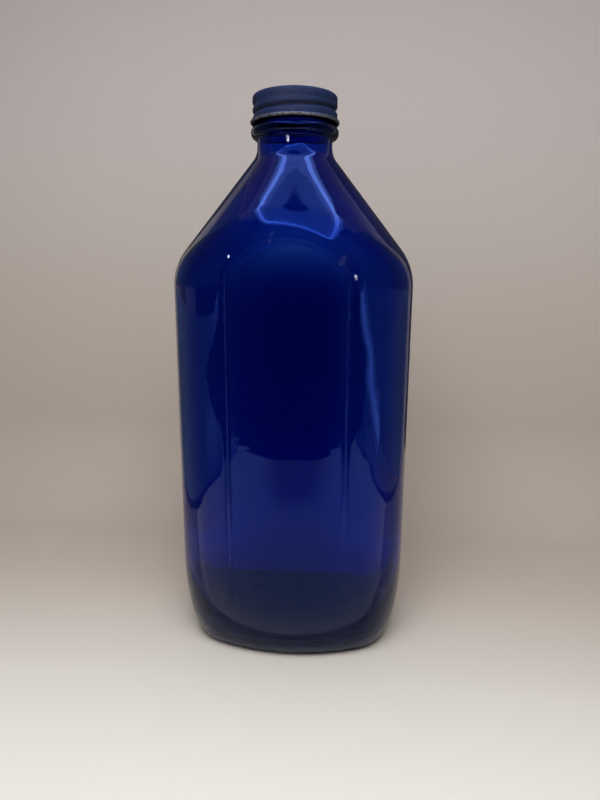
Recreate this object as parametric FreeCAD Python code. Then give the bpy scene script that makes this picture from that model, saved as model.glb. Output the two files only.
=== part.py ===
import FreeCAD, Part
import math
import os

# A moulded blue glass bottle of rounded-rectangle section, with a rolled-thread sheet metal screw cap and
# its two-layer liner. Millimetres, +Z up. The origin is the centre of the base on the plane that the bottle
# stands on, and the bottle's front faces -Y.

# Body of the bottle
body_width = 99.6
body_depth = 75.0
front_bow_radius = 90.0
side_bow_radius = 170.0
corner_radius = 26.0
side_wall_height = 167.8
glass_wall = 3.4

# Shallow panel for a label, sunk into the front and the back
panel_width = 46.0
panel_depth = 0.5
panel_spring_height = 162.7
panel_crown_height = 180.0

# Base of the bottle
base_thickness = 6.5
heel_height = 39.0
heel_inset = 10.0
heel_steps = 6
resting_ring_width = 4.0
push_up_depth = 2.5
push_up_slope = 9.0

# Shoulder and neck
shoulder_angle = 38.5
shoulder_blend_radius = 24.0
neck_diameter = 30.7
neck_height = 6.0
neck_flare_radius = 9.0
mouth_diameter = 24.6

# Transfer ring, and the screw finish above it
ring_diameter = 35.8
ring_height = 5.1
ring_edge_radius = 2.0
finish_height = 10.2
finish_diameter = 30.1
rim_edge_radius = 0.4
thread_pitch = 3.175
glass_thread_diameter = 32.5
glass_thread_width = 1.7
glass_thread_turns = 0.95
thread_start_angle = 150.0
thread_start_above_ring = 5.63

# Cap of thin sheet metal
cap_diameter = 34.4
sheet_thickness = 0.3
cap_edge_radius = 1.2
cap_ring_gap = 0.8
cap_ridge_diameter = 31.5
cap_groove_width = 1.2
cap_thread_turns = 1.2
curl_radius = 0.64
curl_turn = 270.0
knurl_count = 96
knurl_depth = 0.18
knurl_flat = 0.06
knurl_band_top = 1.35
knurl_band_height = 2.5

# Liner inside the cap
board_thickness = 0.9
facing_thickness = 0.1
liner_edge_clearance = 0.2

# Depth by which pieces of one solid run into each other, and by which cutting tools stand proud
overlap = 0.3
overshoot = 5.0

# Sizes that follow from the ones above
half_width = body_width / 2
half_depth = body_depth / 2
neck_radius = neck_diameter / 2
mouth_radius = mouth_diameter / 2
ring_radius = ring_diameter / 2
finish_radius = finish_diameter / 2
cap_radius = cap_diameter / 2
skirt_inner_radius = cap_radius - sheet_thickness
shoulder_slope = math.radians(shoulder_angle)
shoulder_top = side_wall_height + (half_width - neck_radius) / math.tan(shoulder_slope)
ring_bottom = shoulder_top + neck_height
ring_top = ring_bottom + ring_height
rim_height = ring_top + finish_height
board_bottom = rim_height + facing_thickness
cap_inner_top = board_bottom + board_thickness
cap_top = cap_inner_top + sheet_thickness
cap_bottom = ring_top + cap_ring_gap
liner_radius = cap_radius - cap_edge_radius - liner_edge_clearance
glass_thread_start = ring_top + thread_start_above_ring
cap_thread_start = glass_thread_start - thread_pitch / 2
widest_reach = half_width + half_depth


def point(x, z):
    """A point of a turned profile, in the XZ plane."""
    return FreeCAD.Vector(x, 0, z)


def on_circle(centre, radius, degrees):
    """A point on a circle in the XZ plane."""
    angle = math.radians(degrees)
    return centre + point(radius * math.cos(angle), radius * math.sin(angle))


def line(start, end):
    return Part.LineSegment(start, end).toShape()


def arc(start, middle, end):
    return Part.Arc(start, middle, end).toShape()


def rounded_wire(corners):
    """A closed profile through (x, z, radius) corners, with an arc at each corner that has a radius."""
    sides = []
    count = len(corners)
    for index in range(count):
        x, z, radius = corners[index]
        here = point(x, z)
        to_last = (point(*corners[index - 1][:2]) - here).normalize()
        to_next = (point(*corners[(index + 1) % count][:2]) - here).normalize()
        half_angle = to_last.getAngle(to_next) / 2
        setback = radius / math.tan(half_angle)
        bisector = (to_last + to_next).normalize()
        middle = here + bisector * (radius / math.sin(half_angle) - radius)
        sides.append((here + to_last * setback, middle, here + to_next * setback, radius))
    edges = []
    for index in range(count):
        start, middle, end, radius = sides[index]
        if radius > 0:
            edges.append(arc(start, middle, end))
        edges.append(line(end, sides[(index + 1) % count][0]))
    return Part.Wire(edges)


def turned(wire):
    """The solid that a profile in the XZ plane sweeps in one turn about the neck's axis."""
    return Part.Face(wire).revolve(FreeCAD.Vector(0, 0, 0), FreeCAD.Vector(0, 0, 1), 360)


def corner_centre():
    """Centre of the corner arc that touches the bowed front and the bowed side from inside."""
    front_centre = FreeCAD.Vector(0, half_depth - front_bow_radius, 0)
    side_centre = FreeCAD.Vector(half_width - side_bow_radius, 0, 0)
    from_front = front_bow_radius - corner_radius
    from_side = side_bow_radius - corner_radius
    between = side_centre - front_centre
    distance = between.Length
    along = (from_front ** 2 - from_side ** 2 + distance ** 2) / (2 * distance)
    across = math.sqrt(from_front ** 2 - along ** 2)
    direction = between.normalize()
    return front_centre + direction * along + FreeCAD.Vector(direction.y, -direction.x, 0) * across


def body_outline(inset, z):
    """The bottle's plan outline, drawn in by inset: bowed front, back and sides, and round corners."""
    corner = corner_centre()
    radius = corner_radius - inset
    from_front = (corner - FreeCAD.Vector(0, half_depth - front_bow_radius, 0)).normalize()
    from_side = (corner - FreeCAD.Vector(half_width - side_bow_radius, 0, 0)).normalize()
    side_end = corner + from_side * radius
    elbow = corner + (from_front + from_side).normalize() * radius
    back_end = corner + from_front * radius
    side_middle = FreeCAD.Vector(half_width - inset, 0, 0)
    back_middle = FreeCAD.Vector(0, half_depth - inset, 0)
    # One quarter after another, anticlockwise, each arc given by its two ends and its middle.
    there = [side_middle, side_end, elbow, back_end]
    back_again = [back_middle, back_end, elbow, side_end]
    quarters = [(there, 1, 1), (back_again, -1, 1), (there, -1, -1), (back_again, 1, -1)]
    points = [FreeCAD.Vector(p.x * flip_x, p.y * flip_y, z)
              for quarter, flip_x, flip_y in quarters for p in quarter]
    points = points[1:] + points[:2]
    return Part.Wire([arc(*points[i:i + 3]) for i in range(0, len(points) - 2, 2)])


def body_block(inset, bottom):
    """The body's rounded block from its heel up past the rim, drawn in by inset."""
    sections = []
    for step in range(heel_steps + 1):
        angle = math.pi / 2 * step / heel_steps
        z = bottom + (heel_height - bottom) * (1 - math.cos(angle))
        sections.append(body_outline(inset + heel_inset * (1 - math.sin(angle)), z))
    heel = Part.makeLoft(sections, True, False)
    wall_length = rim_height + overshoot - heel_height
    wall = Part.Face(body_outline(inset, heel_height)).extrude(FreeCAD.Vector(0, 0, wall_length))
    return heel.fuse(wall)


def shoulder_rounded(solid, radius):
    """The solid with the edge between its walls and its shoulder cone rounded."""
    cone = next(face for face in solid.Faces if isinstance(face.Surface, Part.Cone))
    # The cone's other edges are its straight seam and the circle where the neck's flare begins.
    edges = [edge for edge in cone.Edges if not isinstance(edge.Curve, (Part.Line, Part.Circle))]
    return solid.makeFillet(radius, edges)


def helix_bead(start_height, radius, turns, profile):
    """A bead of the given section, swept round the neck along the right-handed thread."""
    path = Part.makeHelix(thread_pitch, thread_pitch * turns, radius)
    bead = Part.Wire(path).makePipeShell([profile], True, True)
    bead.rotate(FreeCAD.Vector(0, 0, 0), FreeCAD.Vector(0, 0, 1), thread_start_angle)
    bead.translate(FreeCAD.Vector(0, 0, start_height))
    return bead


def bead_section(foot_radius, crest_radius, width):
    """A thread section: a round crest on a straight foot, centred on z = 0."""
    low = point(foot_radius, -width / 2)
    high = point(foot_radius, width / 2)
    return Part.Wire([arc(low, point(crest_radius, 0), high), line(high, low)])


def glass_bottle():
    cone_at_reach = shoulder_top - (widest_reach - neck_radius) / math.tan(shoulder_slope)
    outside = turned(rounded_wire([
        (0, -overshoot, 0),
        (widest_reach, -overshoot, 0),
        (widest_reach, cone_at_reach, 0),
        (neck_radius, shoulder_top, neck_flare_radius),
        (neck_radius, ring_bottom, 0),
        (ring_radius, ring_bottom, ring_edge_radius),
        (ring_radius, ring_top, ring_edge_radius),
        (finish_radius, ring_top, 0),
        (finish_radius, rim_height, rim_edge_radius),
        (0, rim_height, 0),
    ]))
    outer = shoulder_rounded(body_block(0, 0).common(outside), shoulder_blend_radius)

    # The inside follows the outside one wall in, and runs straight up the neck to the mouth.
    wall_step = glass_wall / math.cos(shoulder_slope)
    throat = shoulder_top + (neck_radius - wall_step - mouth_radius) / math.tan(shoulder_slope)
    inside = turned(rounded_wire([
        (0, -overshoot, 0),
        (widest_reach, -overshoot, 0),
        (widest_reach, cone_at_reach - wall_step / math.tan(shoulder_slope), 0),
        (mouth_radius, throat, neck_flare_radius),
        (mouth_radius, rim_height, rim_edge_radius),
        (finish_radius + overshoot, rim_height, 0),
        (finish_radius + overshoot, rim_height + overshoot, 0),
        (0, rim_height + overshoot, 0),
    ]))
    cavity = body_block(glass_wall, base_thickness).common(inside)
    cavity = shoulder_rounded(cavity, shoulder_blend_radius - glass_wall)

    outer = outer.cut(label_panels())

    # The base is pushed up inside a narrow resting ring.
    push_up = Part.makeLoft([
        body_outline(heel_inset + resting_ring_width, 0),
        body_outline(heel_inset + resting_ring_width + push_up_slope, push_up_depth),
    ], True, True)

    section = bead_section(finish_radius - overlap, glass_thread_diameter / 2, glass_thread_width)
    thread = helix_bead(glass_thread_start, finish_radius, glass_thread_turns, section)
    return outer.fuse(thread).cut(cavity).cut(push_up)


def label_panels():
    """What the two arched label panels take off: an even depth, which runs out where the heel curves in."""
    half = panel_width / 2
    left_foot = point(-half, 0)
    right_foot = point(half, 0)
    left_spring = point(-half, panel_spring_height)
    right_spring = point(half, panel_spring_height)
    arch = arc(right_spring, point(0, panel_crown_height), left_spring)
    sides = [line(left_foot, right_foot), line(right_foot, right_spring), arch, line(left_spring, left_foot)]
    front = Part.Face(Part.Wire(sides)).extrude(FreeCAD.Vector(0, -body_depth, 0))
    bow_centre = FreeCAD.Vector(0, front_bow_radius - half_depth, 0)
    front = front.cut(Part.makeCylinder(front_bow_radius - panel_depth, shoulder_top + overshoot, bow_centre))
    return front.fuse(front.mirror(FreeCAD.Vector(0, 0, 0), FreeCAD.Vector(0, 1, 0)))


def cap_shell():
    curl_height = cap_bottom + curl_radius
    curl_centre = point(skirt_inner_radius + curl_radius, curl_height)
    curl_bore = curl_radius - sheet_thickness
    curl_end = 180 + curl_turn
    curl_middle = 180 + curl_turn / 2
    edge_arc = cap_edge_radius
    inner_edge_arc = cap_edge_radius - sheet_thickness
    outer_edge_centre = point(cap_radius - edge_arc, cap_top - edge_arc)
    profile = Part.Wire([
        line(point(0, cap_top), point(cap_radius - edge_arc, cap_top)),
        arc(point(cap_radius - edge_arc, cap_top), on_circle(outer_edge_centre, edge_arc, 45),
            point(cap_radius, cap_top - edge_arc)),
        line(point(cap_radius, cap_top - edge_arc), point(cap_radius, curl_height)),
        arc(point(cap_radius, curl_height), on_circle(curl_centre, curl_bore, curl_middle),
            on_circle(curl_centre, curl_bore, curl_end)),
        line(on_circle(curl_centre, curl_bore, curl_end), on_circle(curl_centre, curl_radius, curl_end)),
        arc(on_circle(curl_centre, curl_radius, curl_end), on_circle(curl_centre, curl_radius, curl_middle),
            point(skirt_inner_radius, curl_height)),
        line(point(skirt_inner_radius, curl_height), point(skirt_inner_radius, cap_top - edge_arc)),
        arc(point(skirt_inner_radius, cap_top - edge_arc), on_circle(outer_edge_centre, inner_edge_arc, 45),
            point(cap_radius - edge_arc, cap_inner_top)),
        line(point(cap_radius - edge_arc, cap_inner_top), point(0, cap_inner_top)),
        line(point(0, cap_inner_top), point(0, cap_top)),
    ])
    shell = turned(profile)

    # The thread is rolled into the sheet: a ridge inside and, one sheet further out, a groove outside.
    ridge_radius = cap_ridge_diameter / 2
    ridge_width = cap_groove_width + 2 * sheet_thickness
    ridge = helix_bead(cap_thread_start, cap_radius, cap_thread_turns,
                       bead_section(cap_radius - sheet_thickness / 2, ridge_radius, ridge_width))
    groove = helix_bead(cap_thread_start, cap_radius, cap_thread_turns,
                        bead_section(cap_radius + overlap, ridge_radius + sheet_thickness, cap_groove_width))
    return shell.fuse(ridge).cut(groove).cut(knurl_flutes())


def knurl_flutes():
    """The ring of shallow upright flutes that the grip band of the cap is knurled with."""
    points = []
    for index in range(2 * knurl_count):
        angle = math.pi * index / knurl_count
        radius = cap_radius + knurl_flat if index % 2 else cap_radius - knurl_depth
        points.append(FreeCAD.Vector(radius * math.cos(angle), radius * math.sin(angle), 0))
    star = Part.makePolygon(points + points[:1])
    around = Part.Wire(Part.makeCircle(cap_radius + overlap))
    flutes = Part.Face([around, star]).extrude(FreeCAD.Vector(0, 0, knurl_band_height))
    flutes.translate(FreeCAD.Vector(0, 0, cap_top - knurl_band_top - knurl_band_height))
    return flutes


def liner_board():
    return Part.makeCylinder(liner_radius, board_thickness, FreeCAD.Vector(0, 0, board_bottom))


def liner_facing():
    return Part.makeCylinder(liner_radius, facing_thickness, FreeCAD.Vector(0, 0, rim_height))


os.makedirs("parts", exist_ok=True)
for make_piece in (glass_bottle, cap_shell, liner_board, liner_facing):
    shape = make_piece()
    name = make_piece.__name__
    print(name, "valid", shape.isValid(), "solids", len(shape.Solids), "volume", round(shape.Volume, 1))
    shape.exportStep("parts/" + name + ".step")
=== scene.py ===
# %% [markdown]
# # A blue glass bottle with a painted screw cap
#
# The bottle was moulded from cobalt blue glass. Its body is a rounded rectangle in plan, its shoulder is a
# cone that runs up to a round neck, and a thin painted metal cap screws down on a card liner. A measured
# model of it already exists. This lesson loads that model as a fixed frame, and builds a finer surface and a
# real finish for each piece around it. Nothing here moves or resizes the measured pieces.

# %% Load the measured model
import math

import bmesh
import bpy
from mathutils import Matrix, Vector


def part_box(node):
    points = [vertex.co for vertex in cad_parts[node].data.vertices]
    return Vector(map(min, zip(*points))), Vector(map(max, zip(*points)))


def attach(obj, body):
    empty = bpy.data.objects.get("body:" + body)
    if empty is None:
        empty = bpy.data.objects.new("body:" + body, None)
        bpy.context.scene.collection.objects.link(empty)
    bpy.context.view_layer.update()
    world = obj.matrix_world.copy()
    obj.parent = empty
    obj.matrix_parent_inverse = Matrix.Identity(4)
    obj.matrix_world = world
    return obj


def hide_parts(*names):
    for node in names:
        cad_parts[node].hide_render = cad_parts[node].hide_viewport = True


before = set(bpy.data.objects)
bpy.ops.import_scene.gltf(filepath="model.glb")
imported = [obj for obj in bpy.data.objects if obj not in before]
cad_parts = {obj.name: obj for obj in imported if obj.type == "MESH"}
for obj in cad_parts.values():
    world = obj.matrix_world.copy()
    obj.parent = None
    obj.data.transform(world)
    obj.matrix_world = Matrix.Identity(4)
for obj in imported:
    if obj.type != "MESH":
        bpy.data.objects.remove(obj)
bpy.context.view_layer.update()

MM = 0.001
print("measured pieces:", sorted(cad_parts))

# %% [markdown]
# ## Where the camera stands
#
# A photograph fixes its own viewpoint: the lens, the place and the tilt were worked out from the bottle's
# outline. Blender's camera looks down its own -Z axis, so it is tipped up to the horizon less its downward
# pitch, turned to its heading, and rolled a little about its own view axis.

# %% Camera
FOCAL_LENGTH = 27.05
CAMERA_PLACE = Vector((23.94, -262.27, 167.04)) * MM
CAMERA_PITCH_DOWN = math.radians(12.56)
CAMERA_HEADING = math.radians(4.63)
CAMERA_ROLL = math.radians(0.33)
NEAREST_SEEN = 10 * MM

camera_data = bpy.data.cameras.new("photo_camera")
camera_data.lens = FOCAL_LENGTH
camera_data.clip_start = NEAREST_SEEN
camera = bpy.data.objects.new("photo_camera", camera_data)
bpy.context.scene.collection.objects.link(camera)
aim = Matrix.Rotation(CAMERA_HEADING, 4, "Z")
aim @= Matrix.Rotation(math.pi / 2 - CAMERA_PITCH_DOWN, 4, "X")
aim @= Matrix.Rotation(CAMERA_ROLL, 4, "Z")
camera.matrix_world = Matrix.Translation(CAMERA_PLACE) @ aim
bpy.context.scene.camera = camera
bpy.context.scene.view_settings.view_transform = "Standard"
print("camera stands", round(CAMERA_PLACE.length, 3), "m from the bottle's foot")

# %% [markdown]
# ## A few helpers
#
# Every piece ends the same way: the bmesh becomes a mesh object at the origin, smooth shaded. Node trees are
# easier to read when one line makes a node and fills in its inputs.

# %% Helpers for pieces and node trees
def finished_piece(name, work):
    """Turn a bmesh into a smooth object at the origin."""
    mesh = bpy.data.meshes.new(name)
    work.to_mesh(mesh)
    work.free()
    mesh.shade_smooth()
    piece = bpy.data.objects.new(name, mesh)
    bpy.context.scene.collection.objects.link(piece)
    return piece


def feed(tree, socket, value):
    """Link a socket to another node's output, or set it to a plain value."""
    if isinstance(value, bpy.types.NodeSocket):
        tree.links.new(value, socket)
    else:
        socket.default_value = value


def add_node(tree, kind, settings=None, **inputs):
    """Add a node, with its settings and the values of its named inputs."""
    node = tree.nodes.new(kind)
    for setting, value in (settings or {}).items():
        setattr(node, setting, value)
    for socket, value in inputs.items():
        feed(tree, node.inputs[socket.replace("_", " ")], value)
    return node


def new_material(name):
    """A material with an empty node tree and an output node."""
    material = bpy.data.materials.new(name)
    material.use_nodes = True
    material.node_tree.nodes.clear()
    output = material.node_tree.nodes.new("ShaderNodeOutputMaterial")
    return material, material.node_tree, output


def math_node(tree, operation, first, second=0.0):
    """The result of one sum, product or comparison."""
    node = add_node(tree, "ShaderNodeMath", {"operation": operation})
    for socket, value in zip(node.inputs, (first, second)):
        feed(tree, socket, value)
    return node.outputs[0]


def ramp_between(tree, value, low, high):
    """0 where value is at low, 1 where it is at high, and smooth between."""
    node = add_node(tree, "ShaderNodeMapRange", {"interpolation_type": "SMOOTHSTEP"},
                    Value=value, From_Min=low, From_Max=high)
    return node.outputs[0]


def mix_colours(tree, factor, first, second):
    """first where factor is 0, second where it is 1."""
    node = add_node(tree, "ShaderNodeMix", {"data_type": "RGBA"})
    # The node keeps its colour sockets after those for numbers and vectors.
    for index, value in ((0, factor), (6, first), (7, second)):
        feed(tree, node.inputs[index], value)
    return node.outputs[2]


print("helpers are ready")

# %% [markdown]
# ## The floor and the backdrop
#
# The bottle stands on a pale sheet that sweeps up behind it. The sheet is one strip: a straight edge is
# extruded along the floor, round a quarter circle and up the wall. Its back is see-through to the camera, so
# that a view from behind still shows the bottle.

# %% Sweep of pale paper
SHEET_HALF_WIDTH = 1.5
SHEET_FRONT = -1.5
WALL_PLACE = 0.15
SWEEP_RADIUS = 0.06
WALL_TOP = 1.2
SWEEP_STEPS = 24


def swept_strip(name, half_width, places):
    """A strip that runs through the given (y, z) places."""
    work = bmesh.new()
    ends = [work.verts.new((side * half_width, *places[0])) for side in (-1, 1)]
    edges = [work.edges.new(ends)]
    for y, z in places[1:]:
        grown = bmesh.ops.extrude_edge_only(work, edges=edges)["geom"]
        edges = [item for item in grown if isinstance(item, bmesh.types.BMEdge)]
        edges = [edge for edge in edges if not edge.is_manifold and all(v in grown for v in edge.verts)]
        for vert in [item for item in grown if isinstance(item, bmesh.types.BMVert)]:
            vert.co.yz = (y, z)
    bmesh.ops.recalc_face_normals(work, faces=work.faces)
    strip = finished_piece(name, work)
    return strip


sweep_places = [(SHEET_FRONT, 0.0), (WALL_PLACE - SWEEP_RADIUS, 0.0)]
for step in range(1, SWEEP_STEPS + 1):
    angle = math.pi / 2 * step / SWEEP_STEPS
    sweep_places.append((WALL_PLACE - SWEEP_RADIUS + SWEEP_RADIUS * math.sin(angle),
                         SWEEP_RADIUS - SWEEP_RADIUS * math.cos(angle)))
sweep_places.append((WALL_PLACE, WALL_TOP))
sheet = swept_strip("paper_sweep", SHEET_HALF_WIDTH, sweep_places)
if sheet.data.polygons[0].normal.z < 0:
    sheet.data.flip_normals()
print("paper sweep has", len(sheet.data.polygons), "faces")

# %% Paper finish, with painted light and shade
# Painted light and shade on one paper sheet: near white in front, darker and warmer behind, lighter up the
# wall.
LIT_FRONT_COLOUR = (0.88, 0.88, 0.83, 1)
SHADED_BACK_COLOUR = (0.63, 0.555, 0.495, 1)
LIT_TOP_COLOUR = (0.72, 0.665, 0.66, 1)
FIBRE_COLOUR = (0.5, 0.47, 0.44, 1)
FIBRE_SHARE = 0.06
FIBRE_SCALE = 9.0
PAPER_TURN = (-0.12, 0.06)
PAPER_RISE = (0.08, 0.30)
PAPER_ROUGHNESS = 0.9
PAPER_GLOSS = 0.1


def paper_material():
    """Matt paper with a faint fibre mottle, and painted light and shade: near white in front, warm grey
    behind.
    """
    material, tree, output = new_material("paper")
    place = add_node(tree, "ShaderNodeTexCoord").outputs["Object"]
    mottle = add_node(tree, "ShaderNodeTexNoise", Vector=place, Scale=FIBRE_SCALE, Detail=3.0).outputs["Fac"]
    axes = add_node(tree, "ShaderNodeSeparateXYZ", Vector=place).outputs
    # Painted light in front and up the wall, painted shade behind.
    tint = mix_colours(tree, ramp_between(tree, axes["Y"], *PAPER_TURN), LIT_FRONT_COLOUR, SHADED_BACK_COLOUR)
    tint = mix_colours(tree, ramp_between(tree, axes["Z"], *PAPER_RISE), tint, LIT_TOP_COLOUR)
    shade = mix_colours(tree, mottle, tint, FIBRE_COLOUR)
    tint = mix_colours(tree, FIBRE_SHARE, tint, shade)
    paper = add_node(tree, "ShaderNodeBsdfPrincipled", Base_Color=tint, Roughness=PAPER_ROUGHNESS,
                     Specular_IOR_Level=PAPER_GLOSS)
    clear = add_node(tree, "ShaderNodeBsdfTransparent")
    behind = add_node(tree, "ShaderNodeNewGeometry").outputs["Backfacing"]
    seen = add_node(tree, "ShaderNodeLightPath").outputs["Is Camera Ray"]
    choice = add_node(tree, "ShaderNodeMixShader", Fac=math_node(tree, "MULTIPLY", behind, seen))
    tree.links.new(paper.outputs[0], choice.inputs[1])
    tree.links.new(clear.outputs[0], choice.inputs[2])
    tree.links.new(choice.outputs[0], output.inputs["Surface"])
    return material


sheet.data.materials.append(paper_material())
print("paper runs from", LIT_FRONT_COLOUR, "in front to", SHADED_BACK_COLOUR, "behind")

# %% [markdown]
# ## The light
#
# One soft lamp hangs above the front of the paper and shines straight down, so that the floor is brightest in
# front of the bottle and falls off behind it. It is hidden from reflections, because glass shows what stands
# around it as clear pictures, and those are placed one by one in the next cells.

# %% Soft lamp
LAMP_PLACE = (0.0, -0.27, 0.44)
LAMP_SIZE = 0.30
LAMP_BRIGHTNESS = 7.0

lamp = bpy.data.lights.new("soft_lamp", "AREA")
lamp.size = LAMP_SIZE
lamp.energy = LAMP_BRIGHTNESS * math.pi * LAMP_SIZE ** 2
lamp_holder = bpy.data.objects.new("soft_lamp", lamp)
lamp_holder.location = LAMP_PLACE
lamp_holder.visible_camera = False
lamp_holder.visible_glossy = False
lamp_holder.visible_transmission = False
bpy.context.scene.collection.objects.link(lamp_holder)
print("soft lamp gives", round(lamp.energy, 2), "W")

# %% [markdown]
# ## What the glass mirrors
#
# Glass shows its surroundings, so most of its look is what stands round it. A whole room could be modelled.
# Here each thing that shows in the glass is one flat card with a brightness of its own. A card is seen by one
# kind of ray alone, so it neither lights the paper nor hides the bottle from another side.

# %% Cards for reflections, or for what shows through
def glass_card(name, corners, brightness, colour=(1, 1, 1), patches=(), seen_by="glossy"):
    """A flat glowing card that is seen only in reflections, or only through the glass.

    Each patch (centre, inner radius, outer radius, share) dims or brightens a round area with a soft edge.
    """
    work = bmesh.new()
    bmesh.ops.contextual_create(work, geom=[work.verts.new(corner) for corner in corners])
    piece = finished_piece(name, work)
    material, tree, output = new_material(name)
    place = add_node(tree, "ShaderNodeTexCoord").outputs["Object"]
    strength = brightness
    for centre, inner, outer, share in patches:
        away = add_node(tree, "ShaderNodeVectorMath", {"operation": "DISTANCE"})
        tree.links.new(place, away.inputs[0])
        away.inputs[1].default_value = centre
        outside = ramp_between(tree, away.outputs["Value"], inner, outer)
        factor = math_node(tree, "ADD", math_node(tree, "MULTIPLY", outside, 1 - share), share)
        strength = math_node(tree, "MULTIPLY", factor, strength)
    glow = add_node(tree, "ShaderNodeEmission", Color=(*colour, 1), Strength=strength)
    tree.links.new(glow.outputs[0], output.inputs["Surface"])
    piece.data.materials.append(material)
    for ray in ("camera", "diffuse", "glossy", "transmission", "volume_scatter", "shadow"):
        setattr(piece, "visible_" + ray, ray == seen_by)
    return piece


def strip_between(start, end, width, facing):
    """Corners of a strip of the given width from start to end, in the plane with the given facing."""
    start, end = Vector(start), Vector(end)
    across = (end - start).cross(Vector(facing)).normalized() * width / 2
    return [start - across, end - across, end + across, start + across]


print("cards can be placed")

# %% [markdown]
# ## The panel overhead
#
# The shoulder mirrors a lit panel, brighter along its rim and with a round dark hole in it. The panel is one
# card, dimmed in a round patch. Each side of its rim is two strips, a wide soft one and a narrow bright one,
# hung a little lower so that they hide the panel's own edge.

# %% Lit panel overhead
CEILING = 0.40
OVERHEAD_CORNERS = [Vector((-0.12, -0.035, CEILING)), Vector((0.135, 0.0, CEILING)),
                    Vector((0.25, -0.49, CEILING)), Vector((-0.12, -0.24, CEILING))]
OVERHEAD_BRIGHTNESS = 1.45
OVERHEAD_COLOUR = (0.42, 0.70, 1.0)
RIM_LAYERS = [(0.034, 2.8, 0.002), (0.012, 8.5, 0.004)]
RIM_SCALES = [1.0, 1.0, 1.3, 2.4]
RIM_COLOUR = (0.42, 0.64, 1.0)
HOLE_PATCH = ((0.009, -0.097, CEILING), 0.040, 0.052, 0.03)

glass_card("overhead_panel", OVERHEAD_CORNERS, OVERHEAD_BRIGHTNESS, OVERHEAD_COLOUR, [HOLE_PATCH])
for width, brightness, drop in RIM_LAYERS:
    for index, (corner, scale) in enumerate(zip(OVERHEAD_CORNERS, RIM_SCALES)):
        rim = strip_between(OVERHEAD_CORNERS[index - 1], corner, width * scale, (0, 0, 1))
        glass_card("overhead_rim", [place - Vector((0, 0, drop)) for place in rim], brightness, RIM_COLOUR)
print("overhead panel with", len(RIM_LAYERS), "rim layers is placed")

# %% [markdown]
# ## The side walls
#
# The rounded corners mirror a pale wall on each side: a brighter card below, a dimmer one above, and a dark
# seam along the floor. The lower card's uneven front edge draws the tongue that hangs in each corner of the
# glass. Strips along a bent line make a fold in the right wall, which shows as a long streak.

# %% Side walls
WALL_LEFT = -0.20
WALL_RIGHT = 0.225
LOW_WALL_BRIGHTNESS = 0.42
HIGH_WALL_BRIGHTNESS = 0.16
WALL_LINE = 0.153
SIDE_COLOUR = (0.62, 0.84, 1.0)
LEFT_FRONT = [(-0.25, 0.0), (-0.20, 0.03), (-0.155, 0.07), (-0.145, 0.09), (-0.165, 0.13),
              (-0.24, WALL_LINE)]
RIGHT_FRONT = [(-0.285, 0.0), (-0.26, 0.02), (-0.185, 0.045), (-0.24, 0.08), (-0.265, 0.105),
               (-0.30, WALL_LINE)]
LEFT_PATCHES = [((WALL_LEFT, -0.200, 0.150), 0.0, 0.060, 3.0), ((WALL_LEFT, -0.168, 0.048), 0.0, 0.045, 2.4)]
BACK_DIMMING = (0.05, 0.17, 0.45)
SEAM_HEIGHT = 0.006
SEAM_LIFT = 0.001
SEAM_BRIGHTNESS = 0.08
FOLD_LAYERS = [(0.050, 1.2, 0.002), (0.022, 3.0, 0.004)]
FOLD_COLOUR = (0.70, 0.85, 1.0)
FOLD = [(-0.275, 0.145), (-0.245, 0.105), (-0.22, 0.08), (-0.18, 0.06), (-0.12, 0.045)]

for name, x, front, patches in (("left_wall", WALL_LEFT, LEFT_FRONT, LEFT_PATCHES),
                                ("right_wall", WALL_RIGHT, RIGHT_FRONT, ())):
    outline = front + [(WALL_PLACE, WALL_LINE), (WALL_PLACE, 0.0)]
    far_end = ((x, WALL_PLACE, WALL_LINE / 2), *BACK_DIMMING)
    glass_card(name, [(x, *place) for place in outline], LOW_WALL_BRIGHTNESS, SIDE_COLOUR,
               [*patches, far_end])
    upper = [front[-1], (WALL_PLACE, WALL_LINE), (WALL_PLACE, CEILING), (front[-1][0], CEILING)]
    glass_card(name + "_top", [(x, *place) for place in upper], HIGH_WALL_BRIGHTNESS, SIDE_COLOUR)
    inner = x - math.copysign(SEAM_LIFT, x)
    seam = [(front[0][0], 0.0), (WALL_PLACE, 0.0), (WALL_PLACE, SEAM_HEIGHT), (front[0][0], SEAM_HEIGHT)]
    glass_card(name + "_seam", [(inner, *place) for place in seam], SEAM_BRIGHTNESS)
for width, brightness, lift in FOLD_LAYERS:
    for start, end in zip(FOLD, FOLD[1:]):
        fold = strip_between((WALL_RIGHT - lift, *start), (WALL_RIGHT - lift, *end), width, (1, 0, 0))
        glass_card("wall_fold", fold, brightness, FOLD_COLOUR)
print("side walls are placed")

# %% [markdown]
# ## The floor in front, and the dark room
#
# The lower body mirrors the bright paper in front of the bottle, and the front panel mirrors the dark room
# past the paper's near end. The line between the two is the dark edge across the body. A dim card at the back
# keeps the glass from mirroring the backdrop too brightly.

# %% Bright floor in front, dark room beyond it
FLOOR_LIFT = 0.0005
FLOOR_START = -0.043
PAPER_END = -0.305
FRONT_FLOOR_BRIGHTNESS = 1.6
FRONT_FLOOR_COLOUR = (1.0, 0.84, 0.55)
FRONT_SHADE = ((0.003, -0.295, FLOOR_LIFT), 0.05, 0.12, 0.4)
DARK_FRONT = -0.60
DARK_HALF_WIDTH = 0.8
DARK_TOP = 1.2
DARK = 0.012
BACK_LEFT = -0.13
BACK_RIGHT = 0.155
BACK_LIFT = 0.004
BACK_BRIGHTNESS = 0.06


def floor_card(name, left, right, back, front, *look):
    """A card that lies just above the floor."""
    corners = [(left, back), (right, back), (right, front), (left, front)]
    return glass_card(name, [(x, y, FLOOR_LIFT) for x, y in corners], *look)


def standing_card(name, start, end, top, *look):
    """A card that stands on the line from start to end."""
    return glass_card(name, [(*start, 0), (*end, 0), (*end, top), (*start, top)], *look)


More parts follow.
